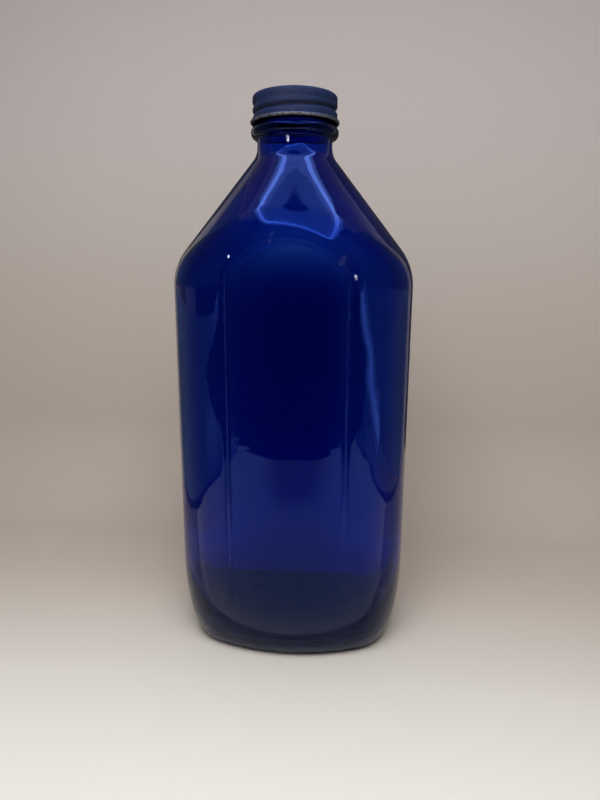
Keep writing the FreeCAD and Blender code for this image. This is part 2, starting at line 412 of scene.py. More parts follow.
floor_card("front_floor", WALL_LEFT, WALL_RIGHT, FLOOR_START, PAPER_END, FRONT_FLOOR_BRIGHTNESS,
           FRONT_FLOOR_COLOUR, [FRONT_SHADE])
floor_card("dark_threshold", -DARK_HALF_WIDTH, DARK_HALF_WIDTH, PAPER_END, DARK_FRONT, DARK)
standing_card("dark_front", (-DARK_HALF_WIDTH, DARK_FRONT), (DARK_HALF_WIDTH, DARK_FRONT), DARK_TOP, DARK)
for x in (-DARK_HALF_WIDTH, DARK_HALF_WIDTH):
    standing_card("dark_flank", (x, DARK_FRONT), (x, PAPER_END), DARK_TOP, DARK)
back_line = WALL_PLACE - BACK_LIFT
standing_card("dark_back", (BACK_LEFT, back_line), (BACK_RIGHT, back_line), CEILING, BACK_BRIGHTNESS)
print("front floor and dark room are placed")

# %% [markdown]
# ## The glints
#
# Small bright lamps show in glass as white glints. Each is a little disc that faces the bottle. The discs are
# warm, because the glass mirrors blue more than red, and together that gives white.

# %% Small bright discs
DOT_BRIGHTNESS = 600.0
DOT_COLOUR = (1.0, 0.5, 0.11)
DOT_SIDES = 16
DOT_AIM = Vector((0, 0, 0.17))
DOTS = [((-0.325, -0.432, 0.177), 0.006), ((-0.115, -0.422, 0.304), 0.010),
        ((0.228, -0.441, 0.177), 0.007), ((0.232, -0.352, 0.157), 0.0025)]

for place, radius in DOTS:
    dot = Vector(place)
    facing = (DOT_AIM - dot).to_track_quat("Z", "Y")
    ring = []
    for side in range(DOT_SIDES):
        turn = 2 * math.pi * side / DOT_SIDES
        ring.append(dot + facing @ Vector((math.cos(turn), math.sin(turn), 0)) * radius)
    glass_card("bright_dot", ring, DOT_BRIGHTNESS, DOT_COLOUR)
print(len(DOTS), "discs are placed")

# %% [markdown]
# ## What shows through the glass
#
# Light from the backdrop comes through the bottle and brings out its blue. Two pale cards, one upright and
# one on the floor, stand for the lit backdrop, brighter near the floor and behind the neck. Only rays that
# have passed through the glass see them.

# %% Pale cards behind
BEHIND_PLACE = 0.088
BEHIND_HALF_WIDTH = 0.13
BEHIND_BRIGHTNESS = 0.27
BEHIND_COLOUR = (1.0, 0.95, 0.92)
LOW_GLOW = ((0.0, BEHIND_PLACE, 0.0), 0.02, 0.085, 1.9)
HIGH_GLOW = ((0.0, BEHIND_PLACE, 0.235), 0.04, 0.095, 2.0)
BEHIND_START = 0.041
BEHIND_FLOOR_SCALE = 1.9

standing_card("pale_behind", (-BEHIND_HALF_WIDTH, BEHIND_PLACE), (BEHIND_HALF_WIDTH, BEHIND_PLACE), CEILING,
              BEHIND_BRIGHTNESS, BEHIND_COLOUR, [LOW_GLOW, HIGH_GLOW], "transmission")
floor_card("pale_floor_behind", -BEHIND_HALF_WIDTH, BEHIND_HALF_WIDTH, BEHIND_PLACE, BEHIND_START,
           BEHIND_FLOOR_SCALE * BEHIND_BRIGHTNESS, BEHIND_COLOUR, (), "transmission")
print("cards behind the glass are placed")

# %% [markdown]
# ## The room
#
# The world fills the shadows with a dim even light. Where it is seen, by the camera, in a reflection or
# through the glass, it is a pale grey room. Light Path tells those rays from the ones that only carry light.

# %% World light
ROOM_COLOUR = (0.42, 0.40, 0.385, 1)
FILL_COLOUR = (0.24, 0.23, 0.225, 1)
world = bpy.data.worlds.new("pale_room")
bpy.context.scene.world = world
world.use_nodes = True
room_tree = world.node_tree
ray_kind = add_node(room_tree, "ShaderNodeLightPath").outputs
seen_room = math_node(room_tree, "MAXIMUM", ray_kind["Is Camera Ray"], ray_kind["Is Glossy Ray"])
seen_room = math_node(room_tree, "MAXIMUM", seen_room, ray_kind["Is Transmission Ray"])
room_colour = mix_colours(room_tree, seen_room, FILL_COLOUR, ROOM_COLOUR)
room_tree.links.new(room_colour, room_tree.nodes["Background"].inputs["Color"])
print("world fill", FILL_COLOUR, "and visible room", ROOM_COLOUR)

# %% [markdown]
# ## The glass: its plan
#
# Seen from above, the body is bowed at the front, the back and the sides, with a round corner that touches
# both bows. A ray from the axis therefore meets one of three circles. Drawing the outline in by an even inset
# only shortens the three radii, so one function serves the outside, the inside and the heel.

# %% Plan outline of the body
glass_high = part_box("glass_bottle")[1]
PANEL_DEPTH = 0.5 * MM
FRONT_BOW = 90 * MM
SIDE_BOW = 170 * MM
CORNER_RADIUS = 26 * MM
half_width = glass_high.x
half_depth = glass_high.y + PANEL_DEPTH

front_centre = Vector((0, half_depth - FRONT_BOW))
side_centre = Vector((half_width - SIDE_BOW, 0))


def touching_corner():
    """Centre of the corner circle that touches the front bow and the side bow from inside."""
    from_front = FRONT_BOW - CORNER_RADIUS
    from_side = SIDE_BOW - CORNER_RADIUS
    between = side_centre - front_centre
    along = (from_front ** 2 - from_side ** 2 + between.length_squared) / (2 * between.length)
    across = math.sqrt(from_front ** 2 - along ** 2)
    direction = between.normalized()
    return front_centre + direction * along + Vector((direction.y, -direction.x)) * across


corner_centre = touching_corner()
toward_front = (corner_centre - front_centre).normalized()
toward_side = (corner_centre - side_centre).normalized()


def ray_reach(ray, centre, radius):
    """How far along a ray from the axis the far side of a circle lies."""
    along = ray.dot(centre)
    return along + math.sqrt(along ** 2 - centre.length_squared + radius ** 2)


def outline_reach(angle, inset):
    """Distance from the axis to the body's outline, drawn in by inset."""
    ray = Vector((abs(math.cos(angle)), abs(math.sin(angle))))
    corner_arc = CORNER_RADIUS - inset
    side_joint = corner_centre + toward_side * corner_arc
    front_joint = corner_centre + toward_front * corner_arc
    slope = ray.y / max(ray.x, 1e-9)
    if slope < side_joint.y / side_joint.x:
        return ray_reach(ray, side_centre, SIDE_BOW - inset)
    if slope < front_joint.y / front_joint.x:
        return ray_reach(ray, corner_centre, corner_arc)
    return ray_reach(ray, front_centre, FRONT_BOW - inset)


print("corner circle centre in mm:", [round(value / MM, 2) for value in corner_centre])

# %% [markdown]
# ## The glass: one column from heel to neck
#
# Each direction round the bottle has its own upright profile: a heel like a quarter of an ellipse, a straight
# wall, a rounded turn onto the shoulder cone, and a flare into the neck. The inner skin starts from the same
# profile, one wall further in. All columns have the same number of points, so their rings can be joined.

# %% Upright profile of the body
HEEL_HEIGHT = 39 * MM
HEEL_INSET = 10 * MM
GLASS_WALL = 3.4 * MM
BASE_THICKNESS = 6.5 * MM
SHOULDER_SLOPE = math.radians(38.5)
SHOULDER_BLEND = 24 * MM
NECK_RADIUS = 15.35 * MM
MOUTH_RADIUS = 12.3 * MM
NECK_FLARE = 9 * MM
WALL_HEIGHT = 167.8 * MM
shoulder_top = WALL_HEIGHT + (half_width - NECK_RADIUS) / math.tan(SHOULDER_SLOPE)


def spread(count, start=0.0, end=1.0):
    """Evenly spaced values from just after start up to end."""
    return [start + (end - start) * (step + 1) / count for step in range(count)]


def body_column(angle, inset, floor, throat_radius, rows):
    """Points (reach, height) of one upright profile, from the heel's foot to the neck."""
    heel_rows, wall_shares, blend_rows, cone_rows, flare_rows = rows
    points = []
    for share in [0.0] + spread(heel_rows):
        turn = math.pi / 2 * share
        height = floor + (HEEL_HEIGHT - floor) * (1 - math.cos(turn))
        points.append((outline_reach(angle, inset + HEEL_INSET * (1 - math.sin(turn))), height))
    reach = outline_reach(angle, inset)
    blend = SHOULDER_BLEND - inset
    tangent = math.tan(SHOULDER_SLOPE)
    cone_step = inset / math.cos(SHOULDER_SLOPE)
    throat = shoulder_top + (NECK_RADIUS - cone_step - throat_radius) / tangent
    meeting = throat - (reach - throat_radius) / tangent
    wall_top = meeting - blend * math.tan(SHOULDER_SLOPE / 2)
    for share in wall_shares:
        points.append((reach, HEEL_HEIGHT + (wall_top - HEEL_HEIGHT) * share))
    for turn in spread(blend_rows, 0, SHOULDER_SLOPE):
        points.append((reach - blend + blend * math.cos(turn), wall_top + blend * math.sin(turn)))
    flare_run = NECK_FLARE * math.tan(SHOULDER_SLOPE / 2)
    flare_foot = (throat_radius + flare_run * math.sin(SHOULDER_SLOPE),
                  throat - flare_run * math.cos(SHOULDER_SLOPE))
    cone_foot = points[-1]
    for share in spread(cone_rows):
        points.append(tuple(a + (b - a) * share for a, b in zip(cone_foot, flare_foot)))
    for turn in spread(flare_rows, SHOULDER_SLOPE, 0):
        points.append((throat_radius + NECK_FLARE * (1 - math.cos(turn)),
                       throat + flare_run - NECK_FLARE * math.sin(turn)))
    return points


sample_rows = (8, spread(4), 6, 4, 4)
front_column = body_column(-math.pi / 2, 0, 0, NECK_RADIUS, sample_rows)
print("front profile runs from", [round(value / MM, 1) for value in front_column[0]],
      "to", [round(value / MM, 1) for value in front_column[-1]])

# %% [markdown]
# ## The glass: neck, ring and mouth
#
# Above the shoulder everything is round, so one profile serves all directions. Its corners are listed with
# the radius that rounds each of them. The screw thread is a low bead that winds almost once round the finish,
# and it is added to the reach of each point that it passes.

# %% Turned profile of the neck
NECK_HEIGHT = 6 * MM
RING_HEIGHT = 5.1 * MM
RING_RADIUS = 17.9 * MM
RING_EDGE = 2.45 * MM
FINISH_RADIUS = 15.05 * MM
CREASE = 0.7 * MM
RIM_EDGE = 0.6 * MM
MOUTH_LIP = 2 * MM
NECK_SPACING = 0.35 * MM
rim_height = glass_high.z
ring_bottom = shoulder_top + NECK_HEIGHT
ring_top = ring_bottom + RING_HEIGHT
ARC_STEPS = 7


def rounded_path(corners, spacing):
    """Points along straight runs between corners (reach, height, radius), with each corner rounded."""
    points = [Vector(corners[0][:2])]
    for before, corner, after in zip(corners, corners[1:], corners[2:]):
        here = Vector(corner[:2])
        back = (Vector(before[:2]) - here).normalized()
        on = (Vector(after[:2]) - here).normalized()
        half_angle = back.angle(on) / 2
        setback = corner[2] / math.tan(half_angle)
        start = here + back * setback
        end = here + on * setback
        centre = here + (back + on).normalized() * (corner[2] / math.sin(half_angle))
        run_to(points, start, spacing)
        for share in spread(ARC_STEPS):
            points.append(centre + (start - centre).slerp(end - centre, share) * corner[2])
    run_to(points, Vector(corners[-1][:2]), spacing)
    return [tuple(point) for point in points[1:]]


def run_to(points, end, spacing):
    """Add evenly spaced points from the last one up to end."""
    start = points[-1]
    count = max(1, round((end - start).length / spacing))
    for share in spread(count):
        points.append(start.lerp(end, share))


neck_path = rounded_path([
    (NECK_RADIUS, shoulder_top + NECK_FLARE * math.tan(SHOULDER_SLOPE / 2), 0),
    (NECK_RADIUS, ring_bottom, CREASE),
    (RING_RADIUS, ring_bottom, RING_EDGE),
    (RING_RADIUS, ring_top, RING_EDGE),
    (FINISH_RADIUS, ring_top, CREASE),
    (FINISH_RADIUS, rim_height, RIM_EDGE),
    (MOUTH_RADIUS, rim_height, RIM_EDGE),
    (MOUTH_RADIUS, rim_height - MOUTH_LIP, 0),
], NECK_SPACING)
print("neck profile has", len(neck_path), "points")

# %% Thread bead on the finish
THREAD_PITCH = 3.175 * MM
THREAD_START_ANGLE = math.radians(150)
GLASS_THREAD_TURNS = 0.95
GLASS_THREAD_START = ring_top + 5.63 * MM
GLASS_THREAD_HEIGHT = 1.2 * MM
GLASS_THREAD_HALF_WIDTH = 0.95 * MM
THREAD_RUN_OUT = 0.06


def eased(value):
    """A smooth step from 0 to 1."""
    value = min(1.0, max(0.0, value))
    return value * value * (3 - 2 * value)


def thread_share(angle, height, start, turns, half_width):
    """1 on the crest of the winding thread, 0 away from it, and run out at its two ends."""
    share = 0.0
    first_turn = ((angle - THREAD_START_ANGLE) % (2 * math.pi)) / (2 * math.pi)
    for turn in (first_turn, first_turn + 1):
        if turn > turns:
            continue
        off_crest = abs(height - start - THREAD_PITCH * turn) / half_width
        ends = eased(turn / THREAD_RUN_OUT) * eased((turns - turn) / THREAD_RUN_OUT)
        if off_crest < 1:
            share = max(share, ends * math.cos(off_crest * math.pi / 2) ** 2)
    return share


print("thread crest at", round((FINISH_RADIUS + GLASS_THREAD_HEIGHT) / MM, 2), "mm")

# %% [markdown]
# ## The glass: label panel
#
# The front and the back each have a shallow arched panel, where the mould was cut a little deeper. The panel
# is pressed in afterwards: every point of the skin inside the arch moves back onto a bow of slightly smaller
# radius, with a soft edge as moulded glass has. A low bead runs round the edge, and it is what catches the
# light along the arch.

# %% Arched panel press
PANEL_HALF_WIDTH = 23 * MM
PANEL_SPRING = 162.7 * MM
PANEL_CROWN = 175.8 * MM
PANEL_EDGE = 0.9 * MM
BEAD_HEIGHT = 0.45 * MM
BEAD_WIDTH = 0.8 * MM
BEAD_OFFSET = 1.0 * MM
BEAD_FOOT = 30 * MM
BEAD_FADE = 30 * MM
MERGE_DISTANCE = 0.001 * MM
arch_rise = PANEL_CROWN - PANEL_SPRING
arch_radius = (PANEL_HALF_WIDTH ** 2 + arch_rise ** 2) / (2 * arch_rise)
arch_centre = PANEL_CROWN - arch_radius


def inside_panel(x, height):
    """How far inside the panel's edge a point lies; negative outside it."""
    sides = PANEL_HALF_WIDTH - abs(x)
    arch = arch_radius - math.hypot(x, height - arch_centre)
    return min(sides, arch) if height > arch_centre else sides


def pressed(place):
    """The place on the skin after the panel has been pressed in, with the bead along its edge."""
    depth_in = inside_panel(place.x, place.z)
    share = eased(depth_in / (2 * PANEL_EDGE) + 0.5)
    bead = BEAD_HEIGHT * math.exp(-((depth_in + BEAD_OFFSET) / BEAD_WIDTH) ** 2)
    bead *= eased((place.z - BEAD_FOOT) / BEAD_FADE)
    if share == 0 and bead < MERGE_DISTANCE:
        return place
    panel_bow = math.sqrt((FRONT_BOW - PANEL_DEPTH) ** 2 - place.x ** 2) - FRONT_BOW + half_depth
    proud = max(0.0, abs(place.y) - panel_bow)
    return Vector((place.x, place.y - math.copysign(proud * share - bead, place.y), place.z))


print("panel arch radius in mm:", round(arch_radius / MM, 1))

# %% [markdown]
# ## The glass: wrapping the skin
#
# The skin starts as a flat grid with one column for each direction and one row for each ring. It is wrapped
# round the axis, row by row: from the middle of the underside out over the push-up to the resting ring, up
# the outside, over the rim, and down the inside to the middle of the floor. Its last column lands on its
# first, so merging doubles closes the seam, and a fan closes each end. That gives one watertight skin. Rows
# and columns lie closer together along the edges of the panels.

# %% Directions and rows
EVEN_DIRECTIONS = 232
EDGE_OFFSETS = [offset * MM for offset in (-0.9, -0.45, 0.0, 0.45, 0.9, 1.35, 1.8, 2.3)]
ARCH_SHARE = 0.84
WALL_SHARES = spread(30, 0, ARCH_SHARE) + spread(28, ARCH_SHARE, 1)
OUTER_ROWS = (18, WALL_SHARES, 26, 14, 8)
INNER_ROWS = (12, spread(24), 12, 8, 6)


def ring_directions():
    """Directions round the axis: even ones, and a few more along the upright edges of the panels."""
    directions = [2 * math.pi * step / EVEN_DIRECTIONS for step in range(EVEN_DIRECTIONS)]
    for offset in EDGE_OFFSETS:
        x = PANEL_HALF_WIDTH + offset
        y = front_centre.y + math.sqrt(FRONT_BOW ** 2 - x ** 2)
        slant = math.atan2(y, x)
        directions += [slant, math.pi - slant, math.pi + slant, 2 * math.pi - slant]
    return sorted(directions)


print("skin has", len(ring_directions()), "columns")

# %% Underside and inner floor
PUSH_UP_DEPTH = 2.5 * MM
PUSH_UP_SLOPE = 9 * MM
RESTING_RING = 4 * MM
FLOOR_RISE = 1 * MM
MIDDLE_SHARES = (0.12, 0.5, 0.8)
SLOPE_ROWS = 8


def base_rings(angle, floor, centre_height, inset):
    """Points of the underside or of the inner floor, from its middle out to the heel."""
    middle_inset = inset + RESTING_RING + PUSH_UP_SLOPE
    middle = outline_reach(angle, middle_inset)
    points = [(middle * share, centre_height) for share in MIDDLE_SHARES]
    for share in [0.0] + spread(SLOPE_ROWS):
        height = centre_height + (floor - centre_height) * eased(share)
        points.append((outline_reach(angle, middle_inset - PUSH_UP_SLOPE * share), height))
    points.append((outline_reach(angle, inset + RESTING_RING / 2), floor))
    return points


print("underside rises", round(PUSH_UP_DEPTH / MM, 2), "mm inside its resting ring")

# %% [markdown]
# ## The glass: where blowing thins it
#
# Glass that is blown into a mould stretches most where it travels furthest, so corners and shoulder end up
# thinner than the middle of the front. Thin glass looks paler, so this shows. Each point of the inner skin is
# moved out by what the wall has lost there, and the bore is a little wider below the finish.

# %% Thinner corners and shoulder
CORNER_WALL = 2.0 * MM
SHOULDER_WALL = 1.8 * MM
NECK_HOLLOW = 1.1 * MM
CORNER_THINNING = (8 * MM, 34 * MM)
BASE_THINNING = (14 * MM, 34 * MM)
SHOULDER_THINNING = (148 * MM, 182 * MM)
NECK_WIDENING = (191 * MM, 203 * MM)


def risen(value, span):
    """A smooth step that rises from 0 to 1 over a span (start, end)."""
    start, end = span
    return eased((value - start) / (end - start))


def drawn_thin(angle, reach, height):
    """An inner point moved out, where blowing has left the corners and the shoulder thinner."""
    off_middle = risen(abs(reach * math.cos(angle)), CORNER_THINNING)
    wall = GLASS_WALL + (CORNER_WALL - GLASS_WALL) * off_middle
    wall += (SHOULDER_WALL - wall) * risen(height, SHOULDER_THINNING)
    thinned = (GLASS_WALL - wall) * risen(height, BASE_THINNING)
    on_neck = risen(height, NECK_WIDENING)
    return reach + thinned * (1 - on_neck) + NECK_HOLLOW * on_neck, height


print("wall thins from", round(GLASS_WALL / MM, 2), "to", round(CORNER_WALL / MM, 2), "mm in the corners")

# %% One column of the skin
BORE_WIDENING = 4 * MM
BORE_SHARES = spread(16, 0.1, 0.97)


def glass_column(angle):
    """All points of one direction, from the middle of the underside round to the middle of the floor."""
    outside = base_rings(angle, 0, PUSH_UP_DEPTH, HEEL_INSET)
    outside += body_column(angle, 0, 0, NECK_RADIUS, OUTER_ROWS)
    neck = []
    for reach, height in neck_path:
        bead = thread_share(angle, height, GLASS_THREAD_START, GLASS_THREAD_TURNS, GLASS_THREAD_HALF_WIDTH)
        on_finish = reach > (FINISH_RADIUS + MOUTH_RADIUS) / 2
        neck.append((reach + GLASS_THREAD_HEIGHT * bead if on_finish else reach, height))
    inside = body_column(angle, GLASS_WALL, BASE_THICKNESS, MOUTH_RADIUS, INNER_ROWS)
    inside = [drawn_thin(angle, reach, height) for reach, height in inside]
    bore = []
    for share in BORE_SHARES:
        height = rim_height + (inside[-1][1] - rim_height) * share
        below = eased((ring_top + BORE_WIDENING - height) / BORE_WIDENING)
        bore.append((MOUTH_RADIUS + NECK_HOLLOW * below, height))
    floor = base_rings(angle, BASE_THICKNESS, BASE_THICKNESS + FLOOR_RISE, GLASS_WALL + HEEL_INSET)
    around = Vector((math.cos(angle), math.sin(angle), 0))
    column = [around * reach + Vector((0, 0, height)) for reach, height in outside]
    column = [pressed(place) for place in column]
    for reach, height in neck + bore + inside[::-1] + floor[::-1]:
        column.append(around * reach + Vector((0, 0, height)))
    return column


print("each column has", len(glass_column(0.0)), "points")

# %% Skin from its columns
def wrapped_grid(columns):
    """A grid whose points lie on the given columns, wrapped into a closed tube."""
    across = len(columns)
    rows = len(columns[0])
    work = bmesh.new()
    bmesh.ops.create_grid(work, x_segments=across, y_segments=rows - 1, size=0.5)
    for vert in work.verts:
        column = round((vert.co.x + 0.5) * across) % across
        row = round((vert.co.y + 0.5) * (rows - 1))
        vert.co = columns[column][row]
    bmesh.ops.remove_doubles(work, verts=work.verts, dist=MERGE_DISTANCE)
    return work


def close_with_fans(work, lowest=-math.inf):
    """Fill each open ring above a height with a fan of triangles round its middle."""
    open_edges = [edge for edge in work.edges if edge.is_boundary and edge.verts[0].co.z > lowest]
    filled = bmesh.ops.holes_fill(work, edges=open_edges, sides=0)["faces"]
    bmesh.ops.poke(work, faces=filled)


def blown_bottle():
    """The whole glass skin."""
    work = wrapped_grid([glass_column(angle) for angle in ring_directions()])
    close_with_fans(work)
    bmesh.ops.recalc_face_normals(work, faces=work.faces)
    return finished_piece("blue_glass_bottle", work)


bottle = blown_bottle()
print("bottle has", len(bottle.data.polygons), "faces")

# %% [markdown]
# ## The glass: its finish
#
# Cobalt glass is clear, and its colour comes from its depth: blue light passes and the rest is absorbed. A
# clear surface with an absorbing volume therefore gives thin walls a lighter blue than the thick base, which
# no surface colour can. Its mirror tint is blue too, which is bluer than real glass but keeps the pale room
# from greying it. A broad and a fine ripple in the normals stand for the uneven skin of moulded glass, and
# the ring that the bottle stands on is scuffed.

# %% Cobalt glass
GLASS_ABSORPTION = (0.0, 0.34, 0.80, 1)
GLASS_DENSITY = 1500.0
MIRROR_TINT = (0.11, 0.22, 1.0, 1)
GLASS_INDEX = 1.52
BROAD_RIPPLE_SCALE = 45.0
FINE_RIPPLE_SCALE = 300.0
FINE_RIPPLE_STRETCH = (0.4, 0.4, 1.0)
FINE_RIPPLE_SHARE = 0.08
RIPPLE_STRENGTH = 0.5
RIPPLE_DEPTH = 0.6 * MM
SCUFF_EDGE = (3.2 * MM, 2.6 * MM)
SCUFF_ROUGHNESS = 0.45


def cobalt_glass():
    """Clear glass with a rippled skin and a scuffed foot, and a volume that lets blue through."""
    material, tree, output = new_material("cobalt_glass")
    place = add_node(tree, "ShaderNodeTexCoord").outputs["Object"]
    stretched = add_node(tree, "ShaderNodeMapping", Vector=place, Scale=FINE_RIPPLE_STRETCH).outputs[0]
    broad = add_node(tree, "ShaderNodeTexNoise", Vector=place, Scale=BROAD_RIPPLE_SCALE, Detail=1.0)
    fine = add_node(tree, "ShaderNodeTexNoise", Vector=stretched, Scale=FINE_RIPPLE_SCALE, Detail=1.0)
    faint = math_node(tree, "MULTIPLY", fine.outputs["Fac"], FINE_RIPPLE_SHARE)
    ripple = math_node(tree, "ADD", broad.outputs["Fac"], faint)
    skin = add_node(tree, "ShaderNodeBump", Strength=RIPPLE_STRENGTH, Distance=RIPPLE_DEPTH, Height=ripple)
    height = add_node(tree, "ShaderNodeSeparateXYZ", Vector=place).outputs["Z"]
    scuffed = math_node(tree, "MULTIPLY", ramp_between(tree, height, *SCUFF_EDGE), SCUFF_ROUGHNESS)
    glass = add_node(tree, "ShaderNodeBsdfPrincipled", Base_Color=(1, 1, 1, 1), Roughness=scuffed,
                     IOR=GLASS_INDEX, Transmission_Weight=1.0, Specular_Tint=MIRROR_TINT,
                     Normal=skin.outputs[0])
    depth = add_node(tree, "ShaderNodeVolumeAbsorption", Color=GLASS_ABSORPTION, Density=GLASS_DENSITY)
    tree.links.new(glass.outputs[0], output.inputs["Surface"])
    tree.links.new(depth.outputs[0], output.inputs["Volume"])
    return material


bottle.data.materials.append(cobalt_glass())
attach(bottle, "bottle")
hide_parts("glass_bottle")
print("glass absorbs", GLASS_ABSORPTION, "at density", GLASS_DENSITY)

# %% [markdown]
# ## The cap: one pressed sheet
#
# The cap is drawn from thin tinplate: a flat top, a rounded edge, a straight skirt, and a lower edge that is
# rolled outwards into a curl. One line through those points is repeated round the axis, with the knurled grip
# and the rolled thread pushed in, and the same wrapped grid joins the lines. A Solidify modifier then gives
# the sheet its thickness, so that the thread shows inside as a ridge, as it does on the real cap.

# %% Profile of the cap
cap_low, cap_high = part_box("cap_shell")
SHEET = 0.3 * MM
CAP_RADIUS = 17.2 * MM
CAP_EDGE = 1.2 * MM
CURL_RADIUS = 0.64 * MM
CURL_TURN = math.radians(270)
CURL_POINTS = 16
TOP_SPACING = 1.2 * MM
SKIRT_SPACING = 0.16 * MM
cap_top = cap_high.z
curl_height = cap_low.z + CURL_RADIUS

cap_path = rounded_path([
    (0, cap_top, 0),
    (CAP_RADIUS, cap_top, CAP_EDGE),
    (CAP_RADIUS, cap_top - 2 * CAP_EDGE, 0),
], TOP_SPACING)
skirt_rows = round((cap_path[-1][1] - curl_height) / SKIRT_SPACING)
for height in spread(skirt_rows, cap_path[-1][1], curl_height):
    cap_path.append((CAP_RADIUS, height))
curl_bore = CURL_RADIUS - SHEET
for turn in spread(CURL_POINTS, 0, CURL_TURN):
    cap_path.append((CAP_RADIUS + curl_bore - curl_bore * math.cos(turn),
                     curl_height - curl_bore * math.sin(turn)))
print("cap profile has", len(cap_path) + 1, "points")

# %% Cap sheet, knurl and rolled thread
CAP_DIRECTIONS = 384
KNURL_COUNT = 96
KNURL_DEPTH = 0.18 * MM
KNURL_TOP = 1.35 * MM
KNURL_HEIGHT = 2.5 * MM
KNURL_FADE = 0.3 * MM
CAP_THREAD_START = GLASS_THREAD_START - THREAD_PITCH / 2
CAP_THREAD_TURNS = 1.2
CAP_THREAD_DEPTH = 0.9 * MM
CAP_THREAD_HALF_WIDTH = 1.4 * MM


def sheet_dent(angle, height):
    """How far the knurl and the thread push the sheet in at a place on the skirt."""
    below_top = cap_top - height
    band = eased((below_top - KNURL_TOP) / KNURL_FADE)
    band *= eased((KNURL_TOP + KNURL_HEIGHT - below_top) / KNURL_FADE)
    knurl = KNURL_DEPTH * band * (0.5 + 0.5 * math.cos(KNURL_COUNT * angle))
    thread = thread_share(angle, height, CAP_THREAD_START, CAP_THREAD_TURNS, CAP_THREAD_HALF_WIDTH)
    return max(knurl, CAP_THREAD_DEPTH * thread)


def cap_column(angle):
    """The sheet's outer line in one direction, with its knurl and its thread."""
    around = Vector((math.cos(angle), math.sin(angle), 0))
    column = []
    for reach, height in cap_path:
        on_skirt = abs(reach - CAP_RADIUS) < MERGE_DISTANCE and height > curl_height
        dent = sheet_dent(angle, height) if on_skirt else 0.0
        column.append(around * (reach - dent) + Vector((0, 0, height)))
    return column


def pressed_cap():
    """The cap's outer sheet, with a fan in the middle of its top."""
    work = wrapped_grid([cap_column(2 * math.pi * step / CAP_DIRECTIONS) for step in range(CAP_DIRECTIONS)])
    close_with_fans(work, cap_top - SHEET)
    bmesh.ops.recalc_face_normals(work, faces=work.faces)
    highest = max(work.faces, key=lambda face: face.calc_center_median().z)
    if highest.normal.z < 0:
        bmesh.ops.reverse_faces(work, faces=work.faces)
    return finished_piece("painted_cap", work)


cap = pressed_cap()
thickness = cap.modifiers.new("sheet_thickness", "SOLIDIFY")
thickness.thickness = SHEET
thickness.offset = -1
print("cap sheet has", len(cap.data.polygons), "faces before it is given its thickness")

# %% [markdown]
# ## A mottle that several finishes share
#
# Worn paint, card and paper all vary in two ways: broad blotches and fine grain. One node group makes both,
# and each material places it with its own scales.

# %% Mottle group
def mottle_group():
    """A node group that puts out broad blotches and fine grain."""
    group = bpy.data.node_groups.new("mottle", "ShaderNodeTree")
    group.interface.new_socket("Place", in_out="INPUT", socket_type="NodeSocketVector")
    for name, default in (("Blotch Scale", 120.0), ("Grain Scale", 1500.0)):
        socket = group.interface.new_socket(name, in_out="INPUT", socket_type="NodeSocketFloat")
        socket.default_value = default
    group.interface.new_socket("Blotch", in_out="OUTPUT", socket_type="NodeSocketFloat")
    group.interface.new_socket("Grain", in_out="OUTPUT", socket_type="NodeSocketFloat")
    entry = group.nodes.new("NodeGroupInput")
    leave = group.nodes.new("NodeGroupOutput")
    for scale, detail, out in (("Blotch Scale", 4.0, "Blotch"), ("Grain Scale", 2.0, "Grain")):
        noise = add_node(group, "ShaderNodeTexNoise", Vector=entry.outputs["Place"],
                         Scale=entry.outputs[scale], Detail=detail, Roughness=0.6)
        group.links.new(noise.outputs["Fac"], leave.inputs[out])
    return group


MOTTLE = mottle_group()


def add_mottle(tree, place, blotch_scale, grain_scale):
    """Place the mottle group in a material, and return its blotch and its grain."""
    node = add_node(tree, "ShaderNodeGroup", {"node_tree": MOTTLE})
    tree.links.new(place, node.inputs["Place"])
    node.inputs["Blotch Scale"].default_value = blotch_scale
    node.inputs["Grain Scale"].default_value = grain_scale
    return node.outputs["Blotch"], node.outputs["Grain"]


print("mottle group has", len(MOTTLE.nodes), "nodes")

# %% [markdown]
# ## The cap: worn paint
#
# The paint is a dull dark blue. Painted shade makes it darker and a little greener in the knurl's
# hollows and darker in the rolled groove, and it is rubbed through to grey metal round the curl. Reach from
# the axis and height pick out those zones, and noise breaks up their edges.

# %% Zones of wear and painted shade
HOLLOW_HEIGHT = 2 * MM
HOLLOW_DEPTHS = (0.04 * MM, 0.15 * MM)
GROOVE_DEPTHS = (0.2 * MM, 1.1 * MM)
SKIRT_DROPS = (4.2 * MM, 4.6 * MM)
CURL_RISES = (1.9 * MM, 1.0 * MM)
CURL_REACHES = (0.05 * MM, 0.45 * MM)
knurl_low = cap_top - KNURL_TOP - KNURL_HEIGHT
knurl_high = cap_top - KNURL_TOP


